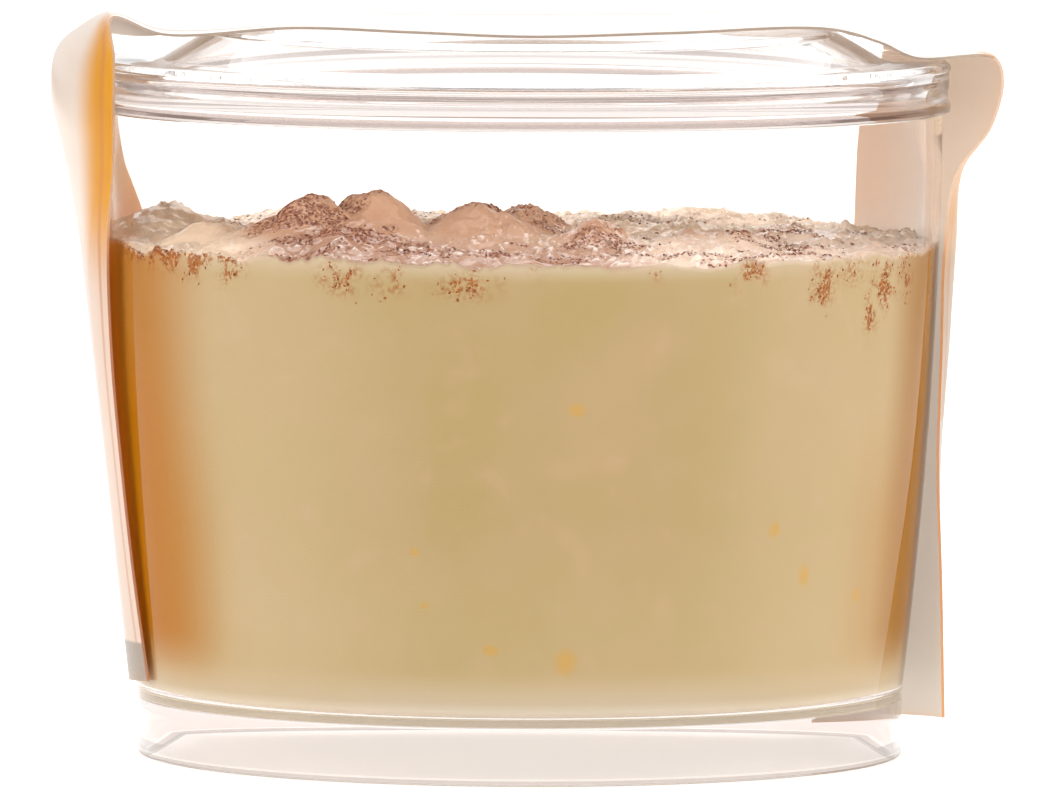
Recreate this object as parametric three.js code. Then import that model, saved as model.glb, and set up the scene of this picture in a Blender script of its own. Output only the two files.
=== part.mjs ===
// Rice pudding in a clear round tub with a press-on lid, and a label band laid over the lid and both sides.
// Millimetres, +Z up. The origin is the centre of the foot ring on the surface that the tub stands on.
// X runs along the band, and the front of the tub looks along -Y.

import * as THREE from "three";
import { mergeVertices } from "three/addons/utils/BufferGeometryUtils.js";

// Shared sizes
const AROUND = 64; // facets round the axis
const FIT_GAP = 0.3; // air left between pieces that touch
const SOFTEN = 0.2; // small chamfer on moulded edges
const WALL = 0.8; // moulded wall of cup and lid

// Cup
const FOOT_R = 42.45; // outer radius of the foot ring
const FOOT_EDGE = 0.3; // rounding of the foot ring's lower edge
const FLOOR_Z = 7.2; // top of the floor, which is also where the wall starts
const WALL_FOOT_R = 42.5;
const WALL_BELLY_R = 46.0; // handle of the wall's gently bulged outline
const WALL_TOP_R = 46.6;
const WALL_TOP_Z = 66; // above this the wall is upright
const WALL_STEPS = 5;
const FLOOR_FILLET = 1.2;
const RIM_Z = 75.9;
const RIM_EDGE = 0.3;

// Lid
const LID_R = 47.5;
const LID_HEM_Z = 71.4; // lower edge of the lid's skirt
const HEM_STEP = 4; // the band bridges the step under the hem over this height
const LID_BEAD_Z = 77.1; // crown of the bead that runs round the lid
const LID_BEAD_R = 0.85; // radius of that bead
const LID_LIP_H = 0.7; // height of the thickened lower lip
const LID_RIB_Z = 75.15; // fine rib between bead and lip
const LID_RIB_H = 0.5;
const LID_RELIEF = 0.3; // how far bead, rib and lip stand out from the skirt
const PANEL_R = 35; // raised middle of the lid, at its crest
const PANEL_FOOT_R = 40.6; // where its sloping shoulder starts
const PANEL_Z = 80.35;
const PANEL_DISH = 0.9; // how far the middle sinks below the crest
const DISH_RIM = 6; // width of the slope from crest to middle
const DISH_FALL = 0.15; // how far the middle still falls inside that slope
const CREST_R = 0.65; // rounding of the crest
const LEDGE_Z = 76.8; // flat ring between shoulder and bead
const LEDGE_STEP = 0.8; // slope from that ring up to the bead
const SEAT_STEP = 0.5; // slope under the lid from the ring to its seat on the rim

// Pudding
const PUDDING_Z = 57.3; // mean level at the wall
const PUDDING_RINGS = 13;
const SIDE_RINGS = 5;
const PUDDING_EDGE = 0.3; // how far the skin curls down where it meets the wall
// Mounds on the surface: x, y, radius and height
const MOUNDS = [
  [-24, -20, 6.5, 5.6],
  [-16, -17, 6.0, 6.4],
  [-20, -27, 6.0, 3.2],
  [-5.5, -17, 6.5, 4.5],
  [1.0, -14, 5.0, 4.6],
  [8.0, -21, 4.5, 3.4],
  [-34, -13, 5.0, 2.8],
  [-39, 3, 8.0, 3.6],
  [20, -17, 6.5, 1.7],
  [29, -9, 6.0, 1.7],
  [-12, 8, 9.0, 2.2],
  [12, 12, 9.0, 1.8],
  [-22, 24, 8.0, 1.6],
  [22, 27, 8.0, 1.5],
];
const MOUND_BLEND = 0.25; // share of a lower mound that adds to a higher one
const RIPPLE = 0.35; // low unevenness between the mounds
const RIPPLE_WAVES = [0.62, 0.21, 0.55, 0.17]; // its waves across and along, in radians a millimetre
const CURL_FROM = 0.88; // share of the radius where the skin starts to curl down

// Label band
const BAND_WIDTH = 36;
const BAND_SETBACK = 7; // its middle lies this far behind the axis
const BAND_THICK = 0.3;
const BAND_STEPS = 64;
const BAND_STRIPS = 6;
// Each row of a side: height, then how far the sheet stands off the tub at its front edge, middle and back edge
const BAND_LEFT = [
  [7.6, 0.7, 0.7, 0.7],
  [20, 0.9, 0.7, 0.7],
  [32, 1.2, 0.9, 0.7],
  [45, 1.5, 1.6, 0.8],
  [57, 1.6, 2.6, 1.6],
  [66, 1.5, 4.0, 4.2],
  [73, 0.9, 4.3, 6.2],
  [78, 0.9, 3.3, 6.5],
];
const BAND_RIGHT = [
  [77.7, 5.2, 3.4, 2.2],
  [75.5, 6.2, 3.8, 2.2],
  [70, 5.1, 3.2, 1.0],
  [65, 2.1, 2.0, 0.8],
  [57, 1.1, 2.0, 0.7],
  [45, 1.3, 1.6, 0.7],
  [32, 1.9, 1.0, 0.7],
  [20, 3.4, 1.1, 0.7],
  [3.4, 5.2, 1.3, 0.7],
];
// Rows over the lid: x, then the sheet's height at its front edge, middle and back edge
const BAND_TOP = [
  [-46.2, 82.2, 81.9, 78.9],
  [-40.5, 80.4, 81.2, 78.6],
  [-26, 81.1, 81.2, 80.9],
  [-13, 80.6, 80.6, 81.0],
  [0, 80.1, 80.2, 80.9],
  [16, 80.5, 80.5, 81.0],
  [33.2, 80.9, 81.0, 80.6],
  [38.8, 79.4, 79.7, 78.6],
  [42.8, 77.7, 77.9, 77.9],
];
const HEM_SLOPE = -0.07; // the cut ends of the band drop towards the back
const BAND_LEAN = -4; // the band was laid askew: high on its left side it lies this far forward
const LEAN_FROM_Z = 50;
const LEAN_TO_Z = 74;

// Outer radius of the cup's wall at a height
function wallRadius(z) {
  const t = THREE.MathUtils.clamp((z - FLOOR_Z) / (WALL_TOP_Z - FLOOR_Z), 0, 1);
  const u = 1 - t;
  return u * u * WALL_FOOT_R + 2 * t * u * WALL_BELLY_R + t * t * WALL_TOP_R;
}

// Radius of the closed tub at a height: the wall, or the lid's skirt where that covers it
function tubRadius(z) {
  const covered = THREE.MathUtils.smoothstep(z, LID_HEM_Z - HEM_STEP, LID_HEM_Z);
  return THREE.MathUtils.lerp(wallRadius(z), LID_R, covered);
}

// Points of a round stretch of outline about (r, z), between two angles in degrees
function arc(r, z, radius, from, to, steps) {
  return Array.from({ length: steps + 1 }, (_, i) => {
    const angle = THREE.MathUtils.degToRad(THREE.MathUtils.lerp(from, to, i / steps));
    return [r + radius * Math.cos(angle), z + radius * Math.sin(angle)];
  });
}

// Turns an outline of [radius, height] pairs about the Z axis
function turned(outline) {
  const points = outline.map(([r, z]) => new THREE.Vector2(r, z));
  const geometry = new THREE.LatheGeometry(points, AROUND);
  geometry.rotateX(Math.PI / 2);
  return closed(geometry);
}

// Keeps positions alone and joins the vertices that coincide
function closed(geometry) {
  geometry.deleteAttribute("normal");
  geometry.deleteAttribute("uv");
  const merged = mergeVertices(geometry, 1e-4);
  merged.computeVertexNormals();
  return merged;
}

function cupGeometry() {
  const footInner = FOOT_R - WALL;
  const upright = Array.from({ length: WALL_STEPS + 1 }, (_, i) => {
    return THREE.MathUtils.lerp(FLOOR_Z, WALL_TOP_Z, i / WALL_STEPS);
  });
  const outside = upright.map((z) => [wallRadius(z), z]);
  const inside = upright
    .slice(1)
    .reverse()
    .map((z) => [wallRadius(z) - WALL, z]);
  const rimMid = WALL_TOP_R - WALL / 2;
  const filletR = WALL_FOOT_R - WALL - FLOOR_FILLET;
  return turned([
    [0, FLOOR_Z - WALL],
    [footInner, FLOOR_Z - WALL],
    [footInner, FOOT_EDGE],
    [footInner + FOOT_EDGE / 2, 0],
    [FOOT_R - FOOT_EDGE / 2, 0],
    [FOOT_R, FOOT_EDGE],
    [FOOT_R, FLOOR_Z - WALL],
    ...outside,
    [WALL_TOP_R, RIM_Z - RIM_EDGE],
    [rimMid + WALL / 4, RIM_Z],
    [rimMid - WALL / 4, RIM_Z],
    [WALL_TOP_R - WALL, RIM_Z - RIM_EDGE],
    ...inside,
    ...arc(filletR, FLOOR_Z + FLOOR_FILLET, FLOOR_FILLET, 0, -90, 3),
    [0, FLOOR_Z],
  ]);
}

function lidGeometry() {
  const skirtR = LID_R - LID_RELIEF;
  const skirtInner = WALL_TOP_R + FIT_GAP;
  const ceiling = RIM_Z + FIT_GAP;
  const beadR = LID_R - LID_BEAD_R;
  const beadZ = LID_BEAD_Z - LID_BEAD_R;
  const ribLow = LID_RIB_Z - LID_RIB_H / 2;
  const ribHigh = LID_RIB_Z + LID_RIB_H / 2;
  const lipTop = LID_HEM_Z + LID_LIP_H;
  const dishR = PANEL_R - DISH_RIM;
  const dishZ = PANEL_Z - PANEL_DISH;
  const rimInner = WALL_TOP_R - WALL;
  const shoulderIn = WALL / 2;
  return turned([
    [0, dishZ - WALL],
    [dishR, dishZ - WALL + DISH_FALL],
    [PANEL_R - shoulderIn, PANEL_Z - WALL],
    [PANEL_FOOT_R - shoulderIn, LEDGE_Z - WALL],
    [rimInner - 2 * SEAT_STEP, LEDGE_Z - WALL],
    [rimInner - SEAT_STEP, ceiling],
    [skirtInner, ceiling],
    [skirtInner, LID_HEM_Z + SOFTEN],
    [skirtInner + SOFTEN, LID_HEM_Z],
    [LID_R - SOFTEN, LID_HEM_Z],
    [LID_R, LID_HEM_Z + SOFTEN],
    [LID_R, lipTop - SOFTEN],
    [skirtR, lipTop],
    [skirtR, ribLow],
    [skirtR + LID_RELIEF / 2, LID_RIB_Z],
    [skirtR, ribHigh],
    ...arc(beadR, beadZ, LID_BEAD_R, -20, 150, 5),
    [beadR - LID_BEAD_R - LEDGE_STEP, LEDGE_Z],
    [PANEL_FOOT_R, LEDGE_Z],
    [PANEL_R + CREST_R, PANEL_Z - CREST_R / 2],
    [PANEL_R - CREST_R, PANEL_Z],
    [dishR, dishZ + DISH_FALL],
    [0, dishZ],
  ]);
}

// Height of the pudding's surface above or below its mean level
function surfaceRelief(x, y, edge) {
  const mounds = MOUNDS.map(([mx, my, radius, height]) => {
    const distance = Math.hypot(x - mx, y - my) / radius;
    return height * Math.exp(-distance * distance);
  });
  const joined = mounds.reduce((sum, height) => {
    return Math.max(sum, height) + MOUND_BLEND * Math.min(sum, height);
  }, 0);
  const [acrossX, acrossY, alongY, alongX] = RIPPLE_WAVES;
  const ripple = Math.sin(x * acrossX + y * acrossY) * Math.sin(y * alongY - x * alongX);
  return joined + RIPPLE * ripple - PUDDING_EDGE * edge * edge;
}

// A round block: the floor, rings up the side, then rings in across the uneven surface
function puddingGeometry() {
  const floor = FLOOR_Z + FIT_GAP;
  const rings = [];
  rings.push([WALL_FOOT_R - WALL - FIT_GAP - FLOOR_FILLET, () => floor]);
  for (let i = 0; i <= SIDE_RINGS; i += 1) {
    const z = THREE.MathUtils.lerp(floor + FLOOR_FILLET, PUDDING_Z, i / SIDE_RINGS);
    const radius = wallRadius(z) - WALL - FIT_GAP;
    const rim = i === SIDE_RINGS;
    rings.push([radius, (x, y) => (rim ? PUDDING_Z + surfaceRelief(x, y, 1) : z)]);
  }
  const topRadius = wallRadius(PUDDING_Z) - WALL - FIT_GAP;
  for (let i = 1; i < PUDDING_RINGS; i += 1) {
    const share = 1 - i / PUDDING_RINGS;
    const edge = THREE.MathUtils.smoothstep(share, CURL_FROM, 1);
    rings.push([topRadius * share, (x, y) => PUDDING_Z + surfaceRelief(x, y, edge)]);
  }
  const positions = [0, 0, floor];
  for (const [radius, height] of rings) {
    for (let j = 0; j < AROUND; j += 1) {
      const angle = (2 * Math.PI * j) / AROUND;
      const x = radius * Math.cos(angle);
      const y = radius * Math.sin(angle);
      positions.push(x, y, height(x, y));
    }
  }
  positions.push(0, 0, PUDDING_Z + surfaceRelief(0, 0, 0));
  const last = positions.length / 3 - 1;
  const at = (ring, j) => 1 + ring * AROUND + (j % AROUND);
  const faces = [];
  for (let j = 0; j < AROUND; j += 1) {
    faces.push(0, at(0, j + 1), at(0, j));
    for (let ring = 0; ring + 1 < rings.length; ring += 1) {
      faces.push(at(ring, j), at(ring, j + 1), at(ring + 1, j + 1));
      faces.push(at(ring, j), at(ring + 1, j + 1), at(ring + 1, j));
    }
    faces.push(at(rings.length - 1, j), at(rings.length - 1, j + 1), last);
  }
  return indexed(positions, faces);
}

function indexed(positions, faces) {
  const geometry = new THREE.BufferGeometry();
  geometry.setAttribute("position", new THREE.Float32BufferAttribute(positions, 3));
  geometry.setIndex(faces);
  geometry.computeVertexNormals();
  return geometry;
}

// Value between front, middle and back of the band, on one smooth curve
function across(share, front, middle, back) {
  const bend = front - 2 * middle + back;
  return front + (4 * middle - 3 * front - back) * share + 2 * bend * share * share;
}

// How far the askew band lies forward, at a height and a share of the way from its right side to its left
function lean(z, leftShare) {
  return BAND_LEAN * THREE.MathUtils.smoothstep(z, LEAN_FROM_Z, LEAN_TO_Z) * leftShare;
}

// One lengthwise line of the band, at a share of its width from front to back
function bandLine(share) {
  const straightY = BAND_SETBACK + BAND_WIDTH * (share - 0.5);
  const drop = HEM_SLOPE * BAND_WIDTH * (share - 0.5);
  const side = (sign, leftShare) => ([z, ...offsets]) => {
    const y = straightY + lean(z, leftShare);
    const reach = Math.sqrt(tubRadius(z) ** 2 - y * y) + across(share, ...offsets);
    return new THREE.Vector3(sign * reach, y, z);
  };
  const left = BAND_LEFT.map(side(-1, 1));
  const right = BAND_RIGHT.map(side(1, 0));
  left[0].z += drop;
  right[right.length - 1].z += drop;
  const top = BAND_TOP.map(([x, ...heights]) => {
    const z = across(share, ...heights);
    return new THREE.Vector3(x, straightY + lean(z, 0.5 - x / (2 * LID_R)), z);
  });
  const line = new THREE.CatmullRomCurve3([...left, ...top, ...right], false, "centripetal");
  return line.getPoints(BAND_STEPS);
}

// A thin closed sheet: both faces of the band and the four edges between them
function bandGeometry() {
  const lines = Array.from({ length: BAND_STRIPS + 1 }, (_, i) => bandLine(i / BAND_STRIPS));
  const columns = BAND_STEPS + 1;
  const point = (i, j) => {
    const row = THREE.MathUtils.clamp(i, 0, BAND_STRIPS);
    return lines[row][THREE.MathUtils.clamp(j, 0, BAND_STEPS)];
  };
  const outer = [];
  const inner = [];
  for (let i = 0; i <= BAND_STRIPS; i += 1) {
    for (let j = 0; j <= BAND_STEPS; j += 1) {
      const along = point(i, j + 1).clone().sub(point(i, j - 1));
      const over = point(i + 1, j).clone().sub(point(i - 1, j));
      const normal = along.cross(over).normalize().multiplyScalar(BAND_THICK / 2);
      outer.push(...point(i, j).clone().add(normal).toArray());
      inner.push(...point(i, j).clone().sub(normal).toArray());
    }
  }
  const half = (BAND_STRIPS + 1) * columns;
  const faces = [];
  const quad = (a, b, c, d) => faces.push(a, b, c, a, c, d);
  const at = (i, j) => i * columns + j;
  for (let i = 0; i < BAND_STRIPS; i += 1) {
    for (let j = 0; j < BAND_STEPS; j += 1) {
      quad(at(i, j), at(i, j + 1), at(i + 1, j + 1), at(i + 1, j));
      quad(half + at(i, j), half + at(i + 1, j), half + at(i + 1, j + 1), half + at(i, j + 1));
    }
    quad(at(i, 0), at(i + 1, 0), half + at(i + 1, 0), half + at(i, 0));
    quad(at(i + 1, BAND_STEPS), at(i, BAND_STEPS), half + at(i, BAND_STEPS), half + at(i + 1, BAND_STEPS));
  }
  for (let j = 0; j < BAND_STEPS; j += 1) {
    quad(at(0, j + 1), at(0, j), half + at(0, j), half + at(0, j + 1));
    quad(at(BAND_STRIPS, j), at(BAND_STRIPS, j + 1), half + at(BAND_STRIPS, j + 1), half + at(BAND_STRIPS, j));
  }
  return indexed([...outer, ...inner], faces);
}

function piece(name, geometry, finish) {
  const mesh = new THREE.Mesh(geometry, new THREE.MeshStandardMaterial(finish));
  mesh.name = name;
  return mesh;
}

const clearPlastic = { color: 0xf4eeec, roughness: 0.08, metalness: 0, transparent: true, opacity: 0.3 };
const cream = { color: 0xd0b27c, roughness: 0.45, metalness: 0 };
const labelFilm = { color: 0xdc9630, roughness: 0.35, metalness: 0 };

const tub = new THREE.Group();
tub.add(piece("cup", cupGeometry(), clearPlastic));
tub.add(piece("lid", lidGeometry(), clearPlastic));
tub.add(piece("pudding", puddingGeometry(), cream));
tub.add(piece("band", bandGeometry(), labelFilm));

export default tub;
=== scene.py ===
"""Looks of a clear lidded tub of rice pudding with a label band: surfaces, powder, light and camera.

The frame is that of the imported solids, in metres with +Z up. Lengths are written in millimetres times MM.
"""

import math

import bpy
import numpy as np
from mathutils import Matrix, Vector, noise


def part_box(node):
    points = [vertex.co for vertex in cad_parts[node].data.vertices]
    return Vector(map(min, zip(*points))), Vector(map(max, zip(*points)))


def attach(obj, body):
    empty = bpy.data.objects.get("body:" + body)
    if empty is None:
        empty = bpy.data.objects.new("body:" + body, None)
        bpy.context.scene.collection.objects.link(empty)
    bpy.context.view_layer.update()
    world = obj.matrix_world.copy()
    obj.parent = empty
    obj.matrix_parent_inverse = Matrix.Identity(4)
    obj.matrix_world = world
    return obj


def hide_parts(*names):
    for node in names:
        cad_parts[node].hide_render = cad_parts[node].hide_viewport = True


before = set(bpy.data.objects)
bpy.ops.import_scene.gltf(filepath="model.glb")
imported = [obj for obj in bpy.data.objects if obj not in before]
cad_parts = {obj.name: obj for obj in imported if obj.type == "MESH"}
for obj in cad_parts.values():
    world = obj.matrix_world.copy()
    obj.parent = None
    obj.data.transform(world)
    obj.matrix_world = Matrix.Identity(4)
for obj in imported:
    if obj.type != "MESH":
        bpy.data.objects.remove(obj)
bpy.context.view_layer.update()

MM = 0.001
SEED = 7

# Cup
CUP_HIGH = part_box("cup")[1]
WALL = 0.8 * MM
FOOT_R = 42.45 * MM
FOOT_EDGE = 0.3 * MM
FLOOR_Z = 7.2 * MM  # top of the cup's floor
WALL_FOOT_R = 42.5 * MM
WALL_BELLY_R = 46.0 * MM  # handle of the wall's gently bulged outline
WALL_TOP_R = CUP_HIGH.x
WALL_TOP_Z = 66 * MM  # above this the wall is upright
WALL_STEPS = 40
FLOOR_FILLET = 1.2 * MM
RIM_Z = CUP_HIGH.z
EDGE_STEPS = 4  # facets of a small rounded edge
ROUND_STEPS = 8  # facets of the rim and of the floor's fillet

# Lid
LID_LOW, LID_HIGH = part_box("lid")
LID_R = LID_HIGH.x
LID_HEM_Z = LID_LOW.z
LID_BEAD_Z = 77.1 * MM
LID_BEAD_R = 0.85 * MM
LID_GAP = 0.3 * MM  # air between lid and rim
# Bulges down the lid's skirt: height of the middle, half height, and how far each stands out
LID_BULGES = [
    (72.0 * MM, 0.60 * MM, 0.30 * MM),
    (74.6 * MM, 0.62 * MM, 0.12 * MM),
    (75.75 * MM, 0.45 * MM, 0.12 * MM),
]
BULGE_POWER = 4  # the higher, the flatter the bulges are
LID_RELIEF = 0.3 * MM
LID_HEM_EDGE = 0.2 * MM  # sloped edge inside the skirt's hem
BEAD_NECK = 0.25 * MM  # how far below the bead's middle the skirt ends
BEAD_ARC = (-10, 140)  # degrees of the bead's round
BEAD_FOOT = 0.8 * MM  # how far inside the bead its slope meets the ledge
SKIRT_STEPS = 60
BEAD_STEPS = 12
# Raised middle of the lid: its crest, the dish in it, and the foot of its slope on the ledge
PANEL_R = 35 * MM
PANEL_FOOT_R = 40.6 * MM
PANEL_Z = LID_HIGH.z
PANEL_DISH = 0.9 * MM
DISH_RIM = 6 * MM
DISH_FLAT = 0.6  # share of the dish that is flat
DISH_LIP = 0.15 * MM
CREST_R = 1.2 * MM
CREST_DEG = 40  # where the crest's round meets the slope
CREST_OUT = 0.4 * MM
CREST_STEPS = 6
LEDGE_Z = 76.8 * MM
TOE_IN = 0.8 * MM
TOE_OUT = 0.5 * MM
TOE_RISE = 0.4 * MM
TOE_OUT_BELOW = 0.4 * MM
TOE_RISE_BELOW = 0.35 * MM
# Step inside the cup's wall, from the ledge's underside up to the rim
STEP_FOOT = 1 * MM
STEP_TOP = 0.5 * MM
TURN_STEPS = 256  # facets round cup and lid
TURN_JOIN = 2e-6  # points nearer than this in metres are one

# Pudding
PUDDING_Z = 57.3 * MM
BITE = 0.15 * MM  # how far the pudding reaches into the clear wall
# Mounds on the surface: x, y, radius and height in millimetres
MOUNDS = [
    (-25, -20, 6.5, 5.6),
    (-17.4, -17, 5.8, 6.1),
    (-20, -27, 6.0, 3.2),
    (-6.5, -17, 6.5, 4.6),
    (-0.7, -14, 5.0, 4.4),
    (6.5, -21, 4.5, 3.3),
    (-34, -13, 5.0, 2.8),
    (-39, 3, 8.0, 3.6),
    (20, -17, 6.5, 1.7),
    (29, -9, 6.0, 1.7),
    (-12, 8, 9.0, 2.2),
    (12, 12, 9.0, 1.8),
    (-22, 24, 8.0, 1.6),
    (22, 27, 8.0, 1.5),
]
MOUND_BLEND = 0.25
RAISED = (0.5, 4.0)  # height from which a mound's skin begins to differ, and from which it fully does
RIPPLE = 0.35
RIPPLE_WAVES = (0.62, 0.21, 0.55, 0.17)
TOP_RINGS = 120
SIDE_RINGS = 40
COARSE_RINGS = 12  # rings of the plain lower side, and the share of its height that they take
COARSE_SHARE = 0.72
PUDDING_STEPS = 600
RICE_GRAINS = 460
RICE_HALF = (2.9, 1.0)  # half length and half width of a grain in millimetres
RICE_SIZES = (0.75, 1.15)  # least and most share of that size
RICE_RISE = 0.42  # how far a grain lifts the skin, in millimetres
RICE_RISES = (0.35, 1.0)  # least and most share of that rise
RICE_ROUND = 1.5  # the higher, the blunter the grains are
# Noise over the pudding: how much each finer layer fades and shrinks, and how far apart seeds lie
LAYER_FADE = 0.6
LAYER_STEP = 2.1
SEED_STEP = 7.3
# Kinds of it: waves a millimetre, layers and seed
WRINKLES = (0.16, 3, 1)
FINE_WRINKLES = (0.7, 3, 2)
SPICE_DRIFTS = (0.1, 4, 3)
SPICE_SPOTS = (0.35, 3, 4)
RIDGES = (0.28, 3, 5)
LUMPS = (0.3, 4, 6)
WALL_CLUMPS = (0.42, 3, 8)
FINE_LUMPS = (0.75, 3, 9)
# Relief of the skin, in millimetres
RIM_FROM = 0.9  # share of the radius from which the surface sinks to the wall
RIM_SINK = 0.3
RIM_RICE_LOSS = 0.4
WRINKLE_RISE = 0.28
FINE_WRINKLE_RISE = 0.10
RIDGE_RISE = 0.5
RIDGE_NARROW = 2.2
RIDGE_POWER = 4
RIDGE_MOUND_LOSS = 0.5
LUMP_RISE = 0.5
FINE_LUMP_RISE = 0.22
LUMP_SINK = 0.3
SKIN_SINK = 0.25
# Whitish film with painted wet glints: less on mounds and at the left, none at the back. Places are in
# millimetres
FILM_GLINT_MOUND_LOSS = 0.4
FILM_GLINT_FRONT = (8, 26)
FILM_GLINT_LEFT = (-28, -36)
FILM_GLINT_LEFT_LOSS = 0.6
# Cinnamon on the surface, in drifts and spots: more in front and on mounds, less behind, none at the left
DRIFT_STRETCH = (0.6, 1.6)
DRIFT_SHARE = 0.9
SPOT_STRETCH = (0.7, 1.4)
SPOT_SHARE = 0.5
SPICE_FRONT = (20, 32)
SPICE_FRONT_SHARE = 0.2
SPICE_MOUND_SHARE = 0.15
SPICE_LESS = 0.05
SPICE_RANGE = (0.05, 0.5)
SPICE_LEFT = (-36, -28)
SPICE_BACK = (0, 12)
SPICE_BACK_LOSS = 0.6
# Crumbs of it: number a square metre where it is thickest, sizes, and shares of width and height
CRUMBS = 4.0e6
CRUMB_GATHER = 1.6  # the higher, the more the crumbs gather where the powder is thick
CRUMB_SIZES = (0.06 * MM, 0.25 * MM)
CRUMB_WIDTHS = (0.35, 0.8)
CRUMB_HEIGHT = 0.5
WIDTH_SEED = 5
SPIN_SEED = 3

# Clear plastic: how much it bends light, its colour, and the warmer one of its thick bands
CUP_BEND = 1.14
LID_BEND = 1.12
CLEAR = (0.985, 0.965, 0.955, 1.0)
HAZY = (0.48, 0.41, 0.385, 1.0)
LAMP_CLEAR = (250, 246, 243)  # screen colour of lamp light that passes
HAZE_EDGE = 0.15 * MM
# Lower and upper edge of each band, and how strong its colour is
LID_HAZE = [
    (71.7 * MM, 72.65 * MM, 0.9),
    (73.75 * MM, 74.2 * MM, 0.35),
    (74.5 * MM, 75.3 * MM, 0.7),
    (75.5 * MM, 76.15 * MM, 0.5),
]
CUP_HAZE = [
    (0.1 * MM, 0.7 * MM, 0.6),
    (0.7 * MM, 6.3 * MM, 0.33),
]

# Cinnamon that clings to the wall: angle from the front, height, half width and half height (mm), amount
WALL_CINNAMON = [
    (-68, 57.8, 4.6, 2.0, 1.3),
    (-61, 56.8, 3.0, 1.6, 0.9),
    (-55, 56.2, 2.6, 1.4, 0.8),
    (-48, 56.0, 1.7, 1.5, 0.9),
    (-29, 55.1, 2.4, 1.2, 0.9),
    (-22, 55.0, 1.8, 1.3, 0.45),
    (-11, 54.5, 3.0, 1.2, 0.5),
    (-2, 55.9, 0.8, 0.8, 0.5),
    (15, 55.8, 0.8, 0.6, 0.4),
    (29, 55.5, 1.5, 1.5, 0.85),
    (42, 54.2, 1.5, 2.3, 0.7),
    (49, 55.4, 2.4, 1.4, 0.4),
    (53, 50.6, 1.0, 1.8, 1.0),
    (56, 53.6, 2.0, 2.2, 0.9),
    (63, 54.0, 1.8, 2.0, 0.5),
    (76, 55.0, 1.6, 3.4, 0.8),
]
WALL_SPICE = 2.4  # how much thicker the powder lies there than on the surface
WALL_FALL = 0.9  # how fast a cluster thins out
CLUMP_RANGE = (-0.45, 0.15)
# Yellow flecks in the pudding at the wall: angle from the front, height, half width and half height (mm)
FLECKS = [
    (-19.2, 25.5, 0.55, 0.5),
    (-17.8, 19.7, 0.45, 0.4),
    (-8.3, 14.9, 0.95, 0.65),
    (2.7, 13.6, 1.3, 1.5),
    (41.3, 22.3, 0.9, 1.3),
    (54.1, 19.5, 0.8, 0.8),
    (3.8, 41.2, 1.0, 0.8),
    (35.0, 27.5, 0.8, 1.0),
]
FLECK_UNEVEN = 0.9
FLECK_FADE = (0.85, 1.75)  # a fleck fades out between these shares of its size
FLECK_SHARE = 0.5

# Noise in the materials: waves a metre, and the range of its values that counts
CLOUD_WAVES = 70.0
CURD_WAVES = 260.0
FINE_WAVES = 2300.0
CRUMB_WAVES = 700.0
MOTTLE_WAVES = 120.0
PRINT_FIBRE_WAVES = 2600.0
BACK_FIBRE_WAVES = 1800.0
GRAIN_RANGE = (0.3, 0.7)

# Colours of the pudding and the band are screen values of 0 to 255.
# Cream at the wall in two shades, and its tints in their order: the measure they go by, two values of it,
# the strength at each, and the colour. Facing goes from -1 at the left to 1 at the right, and turned is the
# same without its sign
SIDE_CREAM = ((180, 158, 110), (185, 161, 120))
CLOUD_RANGE = (0.35, 0.7)
SIDE_TINTS_AND_LIGHT = [
    ("curd", (0.56, 0.72), (0.0, 0.35), (196, 166, 131)),
    ("height", (14.0 * MM, 30.0 * MM), (0.3, 0.0), (198, 178, 135)),
    ("height", (54.6 * MM, 57.4 * MM), (0.0, 0.85), (208, 192, 165)),
    # Painted light: the cream is paler low down, where the glowing floor lights it from below
    ("height", (7.5 * MM, 13.0 * MM), (1.0, 0.0), (208, 192, 165)),
    ("turned", (0.25, 0.65), (0.0, 0.5), (198, 177, 142)),
]
# Orange of the band that shines into the cream beside it, first low down and then at all heights
LOW_GLOWS = [
    ("turned", (0.72, 0.9), (0.0, 0.42), (174, 118, 20)),
]
SIDE_GLOWS = [
    ("facing", (-0.96, -0.77), (1.0, 0.0), (174, 110, 14)),
    ("facing", (-0.99, -0.97), (1.0, 0.0), (255, 188, 48)),
    ("facing", (0.84, 0.955), (0.0, 1.0), (155, 102, 12)),
]
LOW_GLOW_FADE = (24.0 * MM, 46.0 * MM)
GLOW_FOOT = (8.0 * MM, 16.0 * MM)
GLOW_TOP = (36.0 * MM, 54.0 * MM)
GLOW_TOP_SHARE = 0.86
# Painted light: the cream just above the cup's floor is made paler, against the shade under the pudding
PAINTED_FOOT_LIGHT = [
    ("height", (7.4 * MM, 9.2 * MM), (0.65, 0.0), (240, 228, 210)),
]
# Skin: low and high on the surface, painted shade along the mounds and in front of them,
# painted light at the left and back, and film with painted wet glints
LOW_SKIN = ((228, 200, 178), (244, 222, 202))
HIGH_SKIN = ((186, 139, 108), (204, 159, 126))
HIGH_SKIN_Z = (57.8 * MM, 59.6 * MM)
# Painted shade: darker skin along the mounds, and darker still in front of them
MOUND_SHADE = (198, 158, 130)
MOUND_SHADE_SHARE = 0.7
MOUND_SHADE_LEFT = (-33.0 * MM, -26.0 * MM)
MOUND_SHADE_RIGHT = (4.0 * MM, 14.0 * MM)
FRONT_SHADE = (162, 120, 98)
FRONT_SHADE_Y = (-32.0 * MM, -22.0 * MM)
# Painted light: paler skin at the left, where the band shades it, and a painted reflection of the bright
# back behind
LIT_SKIN = (252, 226, 196)
LIT_SKIN_SHARE = 0.9
LIT_SKIN_LEFT = (-37.0 * MM, -29.0 * MM)
LIT_SKIN_BACK = (-8.0 * MM, 8.0 * MM)
# Painted wet glints, together with the whitish film, on the skin's ridges
FILM_AND_GLINT_TINTS = [
    ("film", (0.4, 0.95), (0.0, 0.75), (255, 244, 236)),
]
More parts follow.
